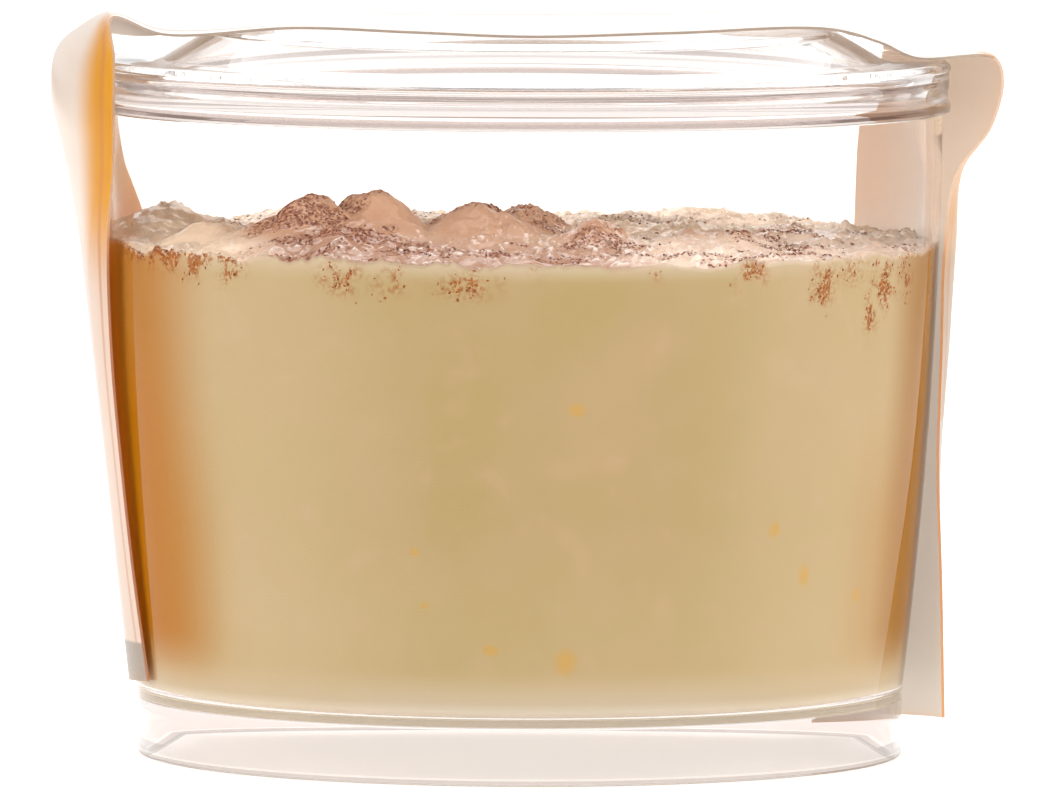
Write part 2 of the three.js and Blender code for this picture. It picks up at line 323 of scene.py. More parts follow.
# Flecks, stains of cinnamon at the wall and on top, and crumbs on top and at the wall
FLECK_COLOUR = (206, 156, 58)
STAINS = ((160, 84, 20), (132, 78, 58))
DUST_RANGE = (0.4, 0.6)
DUST_SHARES = (0.75, 0.85)
RIM_TOP = 0.5  # at the rim the skin and the side meet half and half
TOP_CRUMBS = ((104, 56, 40), (146, 90, 68))
WALL_CRUMBS = ((128, 62, 12), (186, 104, 26))
WALL_CRUMBS_R = (43.6 * MM, 44.4 * MM)
# Gloss and fine bumps of the skin
CURD_ROUGHNESS = (0.28, 0.5)
WET_RANGE = (0.35, 0.55)
WET_SHARES = (0.5, 1.0)
CURD_BUMP = 0.7
FINE_BUMP = 0.3
SKIN_BUMP = 0.8
SKIN_BUMP_HEIGHT = 0.4 * MM

# Label band: its sizes and stations are in millimetres
BAND_WIDTH = 36
BAND_SETBACK = 7
BAND_THICK = 0.3
BAND_STEPS = 300
BAND_STRIPS = 24
# Stations of its two sides: height, and how far its front edge, middle and back edge stand off the tub
BAND_LEFT = [
    (7.6, 0.7, 0.7, 0.7),
    (20, 0.9, 0.7, 0.7),
    (32, 1.2, 0.9, 0.7),
    (45, 1.5, 1.6, 0.8),
    (57, 1.6, 2.6, 1.6),
    (66, 1.5, 4.0, 4.2),
    (73, 0.9, 4.3, 6.2),
    (78, 0.9, 3.3, 6.5),
]
BAND_RIGHT = [
    (77.7, 5.2, 3.4, 2.2),
    (75.5, 6.2, 3.8, 2.2),
    (70, 5.1, 3.2, 1.0),
    (65, 2.1, 2.0, 0.8),
    (57, 1.1, 2.0, 0.7),
    (45, 1.3, 1.6, 0.7),
    (32, 1.9, 1.0, 0.7),
    (20, 3.4, 1.1, 0.7),
    (3.4, 5.2, 1.3, 0.7),
]
# Stations on the lid: place along X, and heights of its front edge, middle and back edge
BAND_TOP = [
    (-46.2, 82.2, 81.9, 78.9),
    (-40.5, 80.4, 81.2, 78.6),
    (-26, 81.1, 81.2, 80.9),
    (-13, 80.6, 80.6, 81.0),
    (0, 80.1, 80.2, 80.9),
    (16, 80.5, 80.5, 81.0),
    (33.2, 80.9, 81.0, 80.6),
    (38.8, 79.4, 79.7, 78.6),
    (42.8, 77.7, 77.9, 77.9),
]
BAND_SHARP = math.radians(50)
RIM_FINISH = 1  # number of the cut edge's finish, which is that of the inside
# Ends of the print, as shares of the band's length
LEFT_BARE = 0.02
RIGHT_BARE = 0.862
PRINT_EDGE = 0.002
# Print: an orange ground, and a cream field that fades out at these shares of the width from the middle
ORANGE = ((218, 148, 0), (226, 156, 0))
CREAM_FIELD = (236, 222, 209)
FIELD_FADE = (0.24, 0.42)
# The cream also covers its foot on the wall, and a paler one the stretch on the lid
FOOT_FIELD_Z = (50.0 * MM, 63.0 * MM)
FOOT_FIELD_SHARE = 0.75
LID_FIELD = (255, 251, 248)
LID_FIELD_START = (0.302, 0.318)
LID_FIELD_END = (0.69, 0.70)
FIELD_SHINE = (252, 242, 230)
# Thin rules between the field and the edges
RULE = (206, 128, 60)
RULE_SHARE = 0.6
RULE_INNER = (0.425, 0.43)
RULE_OUTER = (0.45, 0.455)
PRINT_ROUGHNESS = (0.3, 0.42)
# Bare stock at the left and right end, and the inside, which is warmer where it shines above the pudding
STOCK = ((142, 130, 110), (242, 239, 235))
STOCK_CHANGE = (0.4, 0.6)
BACK = ((248, 240, 231), (252, 245, 237))
BARE_BACK = (252, 245, 238)
BACK_SHINE = (255, 240, 226)
BACK_SHINE_Z = (54.0 * MM, 62.0 * MM)
BACK_ROUGHNESS = (0.4, 0.5)
STOCK_SPECULAR = 0.2
# Zones of the band: first station, share of light and colour let through by its print, and by its back
BAND_ZONES = {
    "left": (0, (0.25, (255, 204, 120)), (0.8, (252, 176, 72))),
    "top": (len(BAND_LEFT), (0.1, (255, 196, 104)), (0.1, (244, 229, 215))),
    "right": (len(BAND_LEFT) + len(BAND_TOP), (0.5, (255, 244, 232)), (0.6, (255, 253, 250))),
}
BAND_SPANS = len(BAND_LEFT) + len(BAND_TOP) + len(BAND_RIGHT) - 1
HEM_SLOPE = -0.07  # how much its two ends are cut askew
HEM_STEP = 4  # height below the lid's hem over which it passes from the wall to the skirt
BAND_LEAN = -4  # how far it leans forward at the left of the lid
LEAN_FROM_Z = 50
LEAN_TO_Z = 74

# Floor, in metres: bright and glowing near the tub, duller to the left and right, in screen values
FLOOR_HALF = 6.0
FLOOR_TOP = -0.05 * MM
FLOOR_SHADES = ((200, 199, 198), (190, 184, 180))
FLOOR_DULL = (0.24, 0.42)
FLOOR_GLOW = 0.72
# Surround: two greys from the viewer's side to the back, white above, and a bright backdrop
GREYS = ((0.72, 0.70, 0.68, 1), (0.60, 0.53, 0.50, 1))
GREY_CHANGE = (-0.6, 0.2)
ABOVE = (1.0, 1.0, 1.0, 1)
ABOVE_FROM = (0.3, 0.8)
BACKDROP = (1.08, 1.08, 1.08, 1)
BACKDROP_FROM = (0.78, 0.93)
# Lamps: place, width and power
LAMPS = {
    "soft_back": ((0.0, 0.9, 1.2), 1.4, 12.0),
    "soft_left": ((-1.7, -0.8, 0.5), 1.0, 9.0),
    "soft_right": ((1.7, -0.8, 0.5), 1.0, 10.0),
}
LAMP_AIM = Vector((0, 0, 0.04))
# How often light is followed on: the clear walls need many bounces
BOUNCES = {"max_bounces": 32, "diffuse_bounces": 2, "glossy_bounces": 32, "transmission_bounces": 32}

# Camera: it stands almost level with the tub, a little to the left, and far away
CAMERA_SIDE = math.radians(-4)
CAMERA_AWAY = 1.8
CAMERA_Z = 0.167
CAMERA_AIM = Vector((0.68 * MM, -0.05 * MM, 39.8 * MM))
CAMERA_SETTINGS = {"lens": 555.4, "sensor_width": 36, "clip_start": 0.05, "clip_end": 50}
CAMERA_ROLL = math.radians(0.25)


def srgb(red, green, blue):
    """A colour given as 8-bit screen values, as the linear colour that shaders use."""
    share = np.array([red, green, blue]) / 255
    linear = np.where(share <= 0.04045, share / 12.92, ((share + 0.055) / 1.055) ** 2.4)
    return (*linear.tolist(), 1.0)


def smoothstep(low, high, x):
    """A smooth step from 0 to 1 between two values."""
    t = np.clip((x - low) / (high - low), 0, 1)
    return t * t * (3 - 2 * t)


def linked(name, data):
    """A new object in the scene, made of its data."""
    item = bpy.data.objects.new(name, data)
    bpy.context.scene.collection.objects.link(item)
    return item


def set_all(item, settings):
    """Gives an item its settings."""
    for name, value in settings.items():
        setattr(item, name, value)


# Node helpers


def add(tree, kind, inputs=None, **settings):
    """A new node with its settings, and its inputs as plain values or links."""
    node = tree.nodes.new(kind)
    set_all(node, settings)
    for key, value in (inputs or {}).items():
        if isinstance(value, bpy.types.NodeSocket):
            tree.links.new(value, node.inputs[key])
        else:
            node.inputs[key].default_value = value
    return node


def calc(tree, operation, *values, clamp=False):
    """The result of a Math node."""
    inputs = dict(enumerate(values))
    return add(tree, "ShaderNodeMath", inputs, operation=operation, use_clamp=clamp).outputs[0]


def ramp(tree, value, low, high, to_low=0.0, to_high=1.0):
    """A smooth step between two values."""
    inputs = {"Value": value, "From Min": low, "From Max": high, "To Min": to_low, "To Max": to_high}
    return add(tree, "ShaderNodeMapRange", inputs, interpolation_type="SMOOTHSTEP").outputs["Result"]


def times(tree, first, second):
    """The product of two values."""
    return calc(tree, "MULTIPLY", first, second)


def window(tree, value, rise, fall, most=1.0):
    """A smooth rise to the most between two values, and a fall from there between two others."""
    return times(tree, ramp(tree, value, *rise, 0.0, most), ramp(tree, value, *fall, 1.0, 0.0))


def tint(tree, factor, first, second):
    """Two colours mixed by a factor."""
    return add(tree, "ShaderNodeMix", {0: factor, 6: first, 7: second}, data_type="RGBA").outputs[2]


def shades(tree, factor, pair):
    """Two colours given as screen values, mixed by a factor."""
    return tint(tree, factor, srgb(*pair[0]), srgb(*pair[1]))


def tinted(tree, colour, measures, rows, share=1.0):
    """A colour with rows of tints over it, each going by a measure, and all weakened by a share."""
    for measure, between, strengths, over in rows:
        strength = ramp(tree, measures[measure], *between, *strengths)
        colour = tint(tree, times(tree, strength, share), colour, srgb(*over))
    return colour


def grain(tree, where, waves):
    """The value of a Noise texture."""
    inputs = {"Vector": where, "Scale": waves, "Detail": 2.0, "Roughness": 0.55}
    return add(tree, "ShaderNodeTexNoise", inputs).outputs["Fac"]


def bump(tree, height, strength, distance):
    """The normal of a Bump node."""
    inputs = {"Height": height, "Strength": strength, "Distance": distance}
    return add(tree, "ShaderNodeBump", inputs).outputs["Normal"]


def new_material(name):
    """An empty node material and its tree."""
    material = bpy.data.materials.new(name)
    material.use_nodes = True
    material.node_tree.nodes.clear()
    return material, material.node_tree


def principled(tree, inputs):
    """A Principled shader."""
    return add(tree, "ShaderNodeBsdfPrincipled", inputs).outputs[0]


def mixed(tree, factor, first, second):
    """Two shaders mixed by a factor."""
    return add(tree, "ShaderNodeMixShader", {0: factor, 1: first, 2: second}).outputs[0]


def finished(material, shader):
    """A material with a shader as its surface."""
    add(material.node_tree, "ShaderNodeOutputMaterial", {"Surface": shader})
    return material


def place(tree):
    """Object coordinates, in metres."""
    return add(tree, "ShaderNodeTexCoord").outputs["Object"]


def parts_of(tree, whole):
    """The three parts of a vector, as X, Y and Z."""
    return add(tree, "ShaderNodeSeparateXYZ", {0: whole}).outputs


def vector(tree, x, y, z=0.0):
    """A vector made of three parts."""
    return add(tree, "ShaderNodeCombineXYZ", {"X": x, "Y": y, "Z": z}).outputs[0]


def vector_calc(tree, operation, *values):
    """The results of a Vector Math node, as Vector and Value."""
    return add(tree, "ShaderNodeVectorMath", dict(enumerate(values)), operation=operation).outputs


def painted(tree, name):
    """The value of an attribute of the mesh."""
    return add(tree, "ShaderNodeAttribute", attribute_name=name).outputs["Fac"]


def new_group(name, kind, given, result):
    """A node group with its named inputs and one output, each with its kind of socket, and those inputs."""
    tree = bpy.data.node_groups.new(name, kind)
    for socket, socket_kind in given.items():
        tree.interface.new_socket(socket, in_out="INPUT", socket_type="NodeSocket" + socket_kind)
    socket, socket_kind = result
    tree.interface.new_socket(socket, in_out="OUTPUT", socket_type="NodeSocket" + socket_kind)
    return tree, add(tree, "NodeGroupInput").outputs


def mask(tree, group, inputs):
    """The mask that a shader group makes."""
    return add(tree, "ShaderNodeGroup", inputs, node_tree=group).outputs["Mask"]


def handed_out(tree, result, geometry, finish):
    """A geometry tree that ends with its geometry made real, in a finish."""
    real = add(tree, "GeometryNodeRealizeInstances", {0: geometry}).outputs[0]
    done = add(tree, "GeometryNodeSetMaterial", {"Geometry": real, "Material": finish}).outputs[0]
    add(tree, "NodeGroupOutput", {result: done})
    return tree


# Materials


def spot_group():
    """Shader group: a soft oval spot at a place on the pudding."""
    sockets = {
        "Place": "Vector",
        "Centre": "Vector",
        "Half Width": "Float",
        "Half Height": "Float",
        "Uneven": "Float",
    }
    tree, given = new_group("soft_spot", "ShaderNodeTree", sockets, ("Mask", "Float"))
    gap = vector_calc(tree, "SUBTRACT", given["Place"], given["Centre"])["Vector"]
    size = vector(tree, given["Half Width"], given["Half Width"], given["Half Height"])
    scaled = vector_calc(tree, "DIVIDE", gap, size)["Vector"]
    length = vector_calc(tree, "LENGTH", scaled)["Value"]
    reach = calc(tree, "MULTIPLY_ADD", given["Uneven"], FLECK_UNEVEN, length)
    add(tree, "NodeGroupOutput", {"Mask": ramp(tree, reach, *FLECK_FADE, 1.0, 0.0)})
    return tree


def clear_plastic(name, bend, hazy_bands):
    """Thin clear moulded plastic with warmer bands, which lamps shine through."""
    material, tree = new_material(name)
    height = parts_of(tree, place(tree))["Z"]
    colour = CLEAR
    for low, high, amount in hazy_bands:
        haze = window(tree, height, (low, low + HAZE_EDGE), (high - HAZE_EDGE, high), amount)
        colour = tint(tree, haze, colour, HAZY)
    inputs = {"Base Color": colour, "Roughness": 0.0, "IOR": bend, "Transmission Weight": 1.0}
    lamps = add(tree, "ShaderNodeBsdfTransparent", {"Color": srgb(*LAMP_CLEAR)}).outputs[0]
    from_lamp = add(tree, "ShaderNodeLightPath").outputs["Is Shadow Ray"]
    return finished(material, mixed(tree, from_lamp, principled(tree, inputs), lamps))


def wall_point(angle_deg, height_mm):
    """A point of the pudding at the wall, at an angle from the front towards the right and a height."""
    angle = math.radians(angle_deg)
    radius = wall_radius(height_mm * MM) - WALL + BITE
    return Vector((radius * math.sin(angle), -radius * math.cos(angle), height_mm * MM))


def side_cream(tree, measures):
    """Cream at the wall: clouded, paler at its edges, the lower one by painted light from below, with the
    band's orange shining in from the sides.
    """
    height = measures["height"]
    side = shades(tree, ramp(tree, measures["cloud"], *CLOUD_RANGE), SIDE_CREAM)
    side = tinted(tree, side, measures, SIDE_TINTS_AND_LIGHT)
    above_foot = ramp(tree, height, *GLOW_FOOT)
    glow = times(tree, above_foot, ramp(tree, height, *GLOW_TOP, 1.0, GLOW_TOP_SHARE))
    low_glow = times(tree, glow, ramp(tree, height, *LOW_GLOW_FADE, 1.0, 0.0))
    side = tinted(tree, side, measures, LOW_GLOWS, low_glow)
    side = tinted(tree, side, measures, SIDE_GLOWS, glow)
    # Painted light at the foot
    return tinted(tree, side, measures, PAINTED_FOOT_LIGHT)


def skin_cream(tree, measures):
    """Skin of the surface: rosier than the side, with painted shade along the mounds, painted light at the
    left and behind, and a whitish film with painted glints.
    """
    x, y = measures["x"], measures["y"]
    mottle = ramp(tree, measures["curd"], *GRAIN_RANGE)
    low_skin = shades(tree, mottle, LOW_SKIN)
    high_skin = shades(tree, mottle, HIGH_SKIN)
    skin = tint(tree, ramp(tree, measures["height"], *HIGH_SKIN_Z), low_skin, high_skin)
    # Painted shade along the mounds and in front of them
    mound_shade = window(tree, x, MOUND_SHADE_LEFT, MOUND_SHADE_RIGHT, MOUND_SHADE_SHARE)
    skin = tint(tree, mound_shade, skin, srgb(*MOUND_SHADE))
    in_front = times(tree, mound_shade, ramp(tree, y, *FRONT_SHADE_Y, 1.0, 0.0))
    skin = tint(tree, in_front, skin, srgb(*FRONT_SHADE))
    # Painted light at the left and a painted reflection behind
    lit_at_left = ramp(tree, x, *LIT_SKIN_LEFT, LIT_SKIN_SHARE, 0.0)
    painted_light = calc(tree, "MAXIMUM", lit_at_left, ramp(tree, y, *LIT_SKIN_BACK, 0.0, LIT_SKIN_SHARE))
    skin = tint(tree, painted_light, skin, srgb(*LIT_SKIN))
    # Film with painted wet glints
    return tinted(tree, skin, measures, FILM_AND_GLINT_TINTS)


def fleck_mask(tree, where, uneven):
    """Mask of the flecks in the cream at the wall."""
    group = spot_group()
    flecks = 0.0
    for angle, height, half_width, half_height in FLECKS:
        inputs = {
            "Place": where,
            "Centre": wall_point(angle, height),
            "Half Width": half_width * MM,
            "Half Height": half_height * MM,
            "Uneven": uneven,
        }
        flecks = calc(tree, "MAXIMUM", flecks, mask(tree, group, inputs))
    return flecks


def pudding_cream():
    """Cooked cream with a wet skin, flecks, and stains of cinnamon."""
    material, tree = new_material("pudding_cream")
    where = place(tree)
    spot = parts_of(tree, where)
    outward = vector_calc(tree, "NORMALIZE", vector(tree, spot["X"], spot["Y"]))["Vector"]
    facing = parts_of(tree, outward)["X"]
    cloud = grain(tree, where, CLOUD_WAVES)
    curd = grain(tree, where, CURD_WAVES)
    fine = grain(tree, where, FINE_WAVES)
    measures = {
        "x": spot["X"],
        "y": spot["Y"],
        "height": spot["Z"],
        "facing": facing,
        "turned": calc(tree, "ABSOLUTE", facing),
        "cloud": cloud,
        "curd": curd,
        "film": painted(tree, "film"),
    }
    top = painted(tree, "top")
    cream = tint(tree, top, side_cream(tree, measures), skin_cream(tree, measures))
    flecks = times(tree, fleck_mask(tree, where, fine), FLECK_SHARE)
    cream = tint(tree, flecks, cream, srgb(*FLECK_COLOUR))
    dust = calc(tree, "MULTIPLY", painted(tree, "cinnamon"), ramp(tree, fine, *DUST_RANGE), clamp=True)
    dust = times(tree, dust, ramp(tree, top, 0.0, RIM_TOP, *DUST_SHARES))
    cream = tint(tree, dust, cream, shades(tree, top, STAINS))
    bumps = calc(tree, "MULTIPLY_ADD", curd, CURD_BUMP, times(tree, fine, FINE_BUMP))
    wet = ramp(tree, cloud, *WET_RANGE, *WET_SHARES)
    inputs = {
        "Base Color": cream,
        "Roughness": ramp(tree, curd, *GRAIN_RANGE, *CURD_ROUGHNESS),
        "Specular IOR Level": 0.0,
        "Coat Weight": times(tree, top, wet),
        "Coat Roughness": 0.1,
        "Normal": bump(tree, times(tree, top, bumps), SKIN_BUMP, SKIN_BUMP_HEIGHT),
    }
    return finished(material, principled(tree, inputs))


def cinnamon_powder():
    """Ground cinnamon, each crumb a little lighter or darker."""
    material, tree = new_material("cinnamon_powder")
    where = place(tree)
    shade = ramp(tree, grain(tree, where, CRUMB_WAVES), *GRAIN_RANGE)
    spot = parts_of(tree, where)
    radius = vector_calc(tree, "LENGTH", vector(tree, spot["X"], spot["Y"]))["Value"]
    on_top = shades(tree, shade, TOP_CRUMBS)
    on_wall = shades(tree, shade, WALL_CRUMBS)
    colour = tint(tree, ramp(tree, radius, *WALL_CRUMBS_R), on_top, on_wall)
    shader = principled(tree, {"Base Color": colour, "Roughness": 0.85})
    return finished(material, shader)


def bare_ends_group():
    """Shader group: mask of the band's two ends, which carry no print."""
    tree, given = new_group("bare_ends", "ShaderNodeTree", {"Along": "Float"}, ("Mask", "Float"))
    left = ramp(tree, given["Along"], LEFT_BARE - PRINT_EDGE, LEFT_BARE, 1.0, 0.0)
    right = ramp(tree, given["Along"], RIGHT_BARE, RIGHT_BARE + PRINT_EDGE)
    add(tree, "NodeGroupOutput", {"Mask": calc(tree, "MAXIMUM", left, right)})
    return tree


def band_place(tree):
    """How far a point is along and across the band."""
    flat = parts_of(tree, add(tree, "ShaderNodeUVMap", uv_map="along").outputs["UV"])
    return flat["X"], flat["Y"]


def lit_through(material, shader, share, shining):
    """A material with a shader as its surface, and a share of light that shines through in a colour."""
    tree = material.node_tree
    glow = add(tree, "ShaderNodeBsdfTranslucent", {"Color": shining}).outputs[0]
    return finished(material, mixed(tree, share, shader, glow))


def label_print(name, ends, let_through, shine):
    """Printed outside of the band: an orange ground, cream fields and thin rules, under a clear gloss."""
    material, tree = new_material(name)
    along, across_band = band_place(tree)
    where = place(tree)
    height = parts_of(tree, where)["Z"]
    mottle = ramp(tree, grain(tree, where, MOTTLE_WAVES), *GRAIN_RANGE)
    from_middle = calc(tree, "ABSOLUTE", calc(tree, "SUBTRACT", across_band, 0.5))
    field = ramp(tree, from_middle, *FIELD_FADE, 1.0, 0.0)
    foot_field = ramp(tree, height, *FOOT_FIELD_Z, FOOT_FIELD_SHARE, 0.0)
    cream = calc(tree, "MAXIMUM", field, foot_field)
    on_lid = window(tree, along, LID_FIELD_START, LID_FIELD_END)
    rule = window(tree, from_middle, RULE_INNER, RULE_OUTER, RULE_SHARE)
    printed = tint(tree, cream, shades(tree, mottle, ORANGE), srgb(*CREAM_FIELD))
    printed = tint(tree, on_lid, printed, srgb(*LID_FIELD))
    printed = tint(tree, rule, printed, srgb(*RULE))
    stock = shades(tree, ramp(tree, along, *STOCK_CHANGE), STOCK)
    bare = mask(tree, ends, {"Along": along})
    fibre = grain(tree, where, PRINT_FIBRE_WAVES)
    inputs = {
        "Base Color": tint(tree, bare, printed, stock),
        "Roughness": ramp(tree, fibre, *GRAIN_RANGE, *PRINT_ROUGHNESS),
        "Specular IOR Level": STOCK_SPECULAR,
        "Coat Weight": 0.4,
        "Coat Roughness": 0.1,
    }
    shining = shades(tree, calc(tree, "MAXIMUM", cream, on_lid), (shine, FIELD_SHINE))
    return lit_through(material, principled(tree, inputs), let_through, shining)


def label_back(name, ends, let_through, shine):
    """Unprinted inside of the band, with the print's warm colour showing through the stock."""
    material, tree = new_material(name)
    along, _ = band_place(tree)
    where = place(tree)
    height = parts_of(tree, where)["Z"]
    fibre = grain(tree, where, BACK_FIBRE_WAVES)
    backed = shades(tree, ramp(tree, fibre, *GRAIN_RANGE), BACK)
    bare = mask(tree, ends, {"Along": along})
    inputs = {
        "Base Color": tint(tree, bare, backed, srgb(*BARE_BACK)),
        "Roughness": ramp(tree, fibre, *GRAIN_RANGE, *BACK_ROUGHNESS),
        "Specular IOR Level": STOCK_SPECULAR,
    }
    shining = shades(tree, ramp(tree, height, *BACK_SHINE_Z), (shine, BACK_SHINE))
    return lit_through(material, principled(tree, inputs), let_through, shining)


# Turned pieces


def wall_radius(z):
    """Outer radius of the cup's wall at a height."""
    t = min(max((z - FLOOR_Z) / (WALL_TOP_Z - FLOOR_Z), 0), 1)
    u = 1 - t
    return u * u * WALL_FOOT_R + 2 * t * u * WALL_BELLY_R + t * t * WALL_TOP_R


def arc(r, z, radius, start_deg, end_deg, steps):
    """Points of a round stretch of outline about (r, z)."""
    angles = [math.radians(start_deg + (end_deg - start_deg) * i / steps) for i in range(steps + 1)]
    return [(r + radius * math.cos(a), z + radius * math.sin(a)) for a in angles]


def cup_outline():
    """Half section of the cup, from the axis under the floor, round the wall, back to the axis."""
    foot_in = FOOT_R - WALL
    edge = FOOT_EDGE
    heights = [FLOOR_Z + (WALL_TOP_Z - FLOOR_Z) * i / WALL_STEPS for i in range(WALL_STEPS + 1)]
    outside = [(wall_radius(z), z) for z in heights]
    inside = [(wall_radius(z) - WALL, z) for z in reversed(heights) if z > FLOOR_Z + FLOOR_FILLET]
    rim_r = WALL_TOP_R - WALL / 2
    fillet_r = WALL_FOOT_R - WALL - FLOOR_FILLET
    return [
        (0, FLOOR_Z - WALL),
        (foot_in / 2, FLOOR_Z - WALL),
        *arc(foot_in - edge, FLOOR_Z - WALL - edge, edge, 90, 0, EDGE_STEPS),
        (foot_in, FLOOR_Z / 2),
        *arc(foot_in + edge, edge, edge, 180, 270, EDGE_STEPS),
        *arc(FOOT_R - edge, edge, edge, 270, 360, EDGE_STEPS),
        (FOOT_R, FLOOR_Z / 2),
        (FOOT_R, FLOOR_Z - WALL),
        *outside,
        *arc(rim_r, RIM_Z - WALL / 2, WALL / 2, 0, 180, ROUND_STEPS),
        *inside,
        *arc(fillet_r, FLOOR_Z + FLOOR_FILLET, FLOOR_FILLET, 0, -90, ROUND_STEPS),
        (fillet_r / 2, FLOOR_Z),
        (0, FLOOR_Z),
    ]


def lid_outline():
    """Half section of the lid, from the axis under its middle, round the skirt, back to the axis."""
    skirt_r = LID_R - LID_RELIEF
    skirt_in = WALL_TOP_R + LID_GAP
    wall_in = WALL_TOP_R - WALL
    ceiling = RIM_Z + LID_GAP
    bead_r = LID_R - LID_BEAD_R
    bead_z = LID_BEAD_Z - LID_BEAD_R
    dish_r = PANEL_R - DISH_RIM
    dish_z = PANEL_Z - PANEL_DISH
    in_r = PANEL_R - WALL / 2
    foot_in = PANEL_FOOT_R - WALL / 2
    low, high = LID_HEM_Z + LID_HEM_EDGE, bead_z - BEAD_NECK
    skirt = []
    for i in range(SKIRT_STEPS + 1):
        z = low + (high - low) * i / SKIRT_STEPS
        bulges = [rise * math.exp(-(((z - mid) / half) ** BULGE_POWER)) for mid, half, rise in LID_BULGES]
        skirt.append((skirt_r + max(bulges), z))
    return [
        (0, dish_z - WALL),
        (dish_r * DISH_FLAT, dish_z - WALL),
        (dish_r, dish_z - WALL + DISH_LIP),
        (dish_r + DISH_RIM / 2, PANEL_Z - WALL - PANEL_DISH / 3),
        *arc(in_r - CREST_R, PANEL_Z - WALL - CREST_R, CREST_R, 90, CREST_DEG, CREST_STEPS),
        (foot_in - TOE_IN, LEDGE_Z - WALL + TOE_RISE_BELOW),
        (foot_in + TOE_OUT_BELOW, LEDGE_Z - WALL),
        (wall_in - STEP_FOOT, LEDGE_Z - WALL),
        (wall_in - STEP_TOP, ceiling),
        (skirt_in, ceiling),
        (skirt_in, low),
        (skirt_in + LID_HEM_EDGE, LID_HEM_Z),
        (skirt_r, LID_HEM_Z),
        *skirt,
        *arc(bead_r, bead_z, LID_BEAD_R, *BEAD_ARC, BEAD_STEPS),
        (bead_r - LID_BEAD_R - BEAD_FOOT, LEDGE_Z),
        (PANEL_FOOT_R + TOE_OUT, LEDGE_Z),
        (PANEL_FOOT_R - TOE_IN, LEDGE_Z + TOE_RISE),
        *arc(PANEL_R - CREST_R + CREST_OUT, PANEL_Z - CREST_R, CREST_R, CREST_DEG, 90, CREST_STEPS),
        (dish_r + DISH_RIM / 2, PANEL_Z - PANEL_DISH / 3),
        (dish_r, dish_z + DISH_LIP),
        (dish_r * DISH_FLAT, dish_z),
        (0, dish_z),
    ]


def turning_tree():
    """Geometry tree that turns a chain of points in the XZ plane about the Z axis."""
    sockets = {"Section": "Geometry", "Steps Around": "Int", "Finish": "Material"}
    tree, given = new_group("turned_piece", "GeometryNodeTree", sockets, ("Piece", "Geometry"))
    count = add(tree, "GeometryNodeAttributeDomainSize", {0: given["Section"]}).outputs["Point Count"]
    around = calc(tree, "ADD", given["Steps Around"], 1)
    sizes = {"Size X": 1.0, "Size Y": 1.0, "Vertices X": around, "Vertices Y": count}
    grid = add(tree, "GeometryNodeMeshGrid", sizes).outputs["Mesh"]
    here = add(tree, "GeometryNodeInputPosition").outputs[0]
    flat = parts_of(tree, here)
    angle = times(tree, calc(tree, "ADD", flat["X"], 0.5), 2 * math.pi)
    step = times(tree, calc(tree, "ADD", flat["Y"], 0.5), calc(tree, "SUBTRACT", count, 1))
    index = calc(tree, "ROUND", step)
    sample = add(
        tree,
        "GeometryNodeSampleIndex",
        {"Geometry": given["Section"], "Index": index},
        data_type="FLOAT_VECTOR",
        domain="POINT",
    )
    tree.links.new(here, sample.inputs["Value"])
    point = parts_of(tree, sample.outputs[0])
    x = times(tree, point["X"], calc(tree, "COSINE", angle))
    y = times(tree, point["X"], calc(tree, "SINE", angle))
    turned = vector(tree, x, y, point["Z"])
    moved = add(tree, "GeometryNodeSetPosition", {"Geometry": grid, "Position": turned}).outputs[0]
    joined = add(tree, "GeometryNodeMergeByDistance", {"Geometry": moved, "Distance": TURN_JOIN}).outputs[0]
    smooth = add(tree, "GeometryNodeSetShadeSmooth", {"Geometry": joined}).outputs[0]
    return handed_out(tree, "Piece", smooth, given["Finish"])


def grown(name, tree, source, **inputs):
    """Runs a geometry tree on a mesh, with inputs given by their socket's name, as a plain mesh."""
    holder = linked(name + "_source", source)
    modifier = holder.modifiers.new("grow", "NODES")
    modifier.node_group = tree
    for item in tree.interface.items_tree:
        wanted = item.name.replace(" ", "_").lower()
        if item.item_type == "SOCKET" and item.in_out == "INPUT" and wanted in inputs:
            modifier[item.identifier] = inputs[wanted]
    depsgraph = bpy.context.evaluated_depsgraph_get()
    mesh = bpy.data.meshes.new_from_object(holder.evaluated_get(depsgraph), depsgraph=depsgraph)
    mesh.name = name
    holder.modifiers.clear()
    bpy.data.objects.remove(holder)
    return mesh


def chain(name, outline):
    """A mesh of points joined by edges, in the XZ plane."""
    mesh = bpy.data.meshes.new(name)
    points = [(r, 0, z) for r, z in outline]
    mesh.from_pydata(points, [(i, i + 1) for i in range(len(points) - 1)], [])
    return mesh


def put(name, mesh, slot, *nodes):
    """Puts a mesh in the scene as a piece on the tub's body, in place of CAD nodes."""
    piece = linked(name, mesh)
    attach(piece, "root")
    if nodes:
        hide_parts(*nodes)


# Pudding


def fractal(x, y, scale, octaves, seed):
    """Layered noise over the surface, about -1 to 1, at a scale in waves a millimetre."""
    values = [
        noise.fractal(Vector((px * scale, py * scale, seed * SEED_STEP)), LAYER_FADE, LAYER_STEP, octaves)
        for px, py in zip(x.ravel(), y.ravel())
    ]
    return np.array(values).reshape(x.shape)


def mound_relief(x, y):
    """Height of the mounds and of the low ripple between them, in millimetres."""
    joined = np.zeros_like(x)
    for mx, my, radius, height in MOUNDS:
        here = height * np.exp(-((x - mx) ** 2 + (y - my) ** 2) / radius**2)
        joined = np.maximum(joined, here) + MOUND_BLEND * np.minimum(joined, here)
    across_x, across_y, along_y, along_x = RIPPLE_WAVES
    ripple = np.sin(x * across_x + y * across_y) * np.sin(y * along_y - x * along_x)
    return joined + RIPPLE * ripple


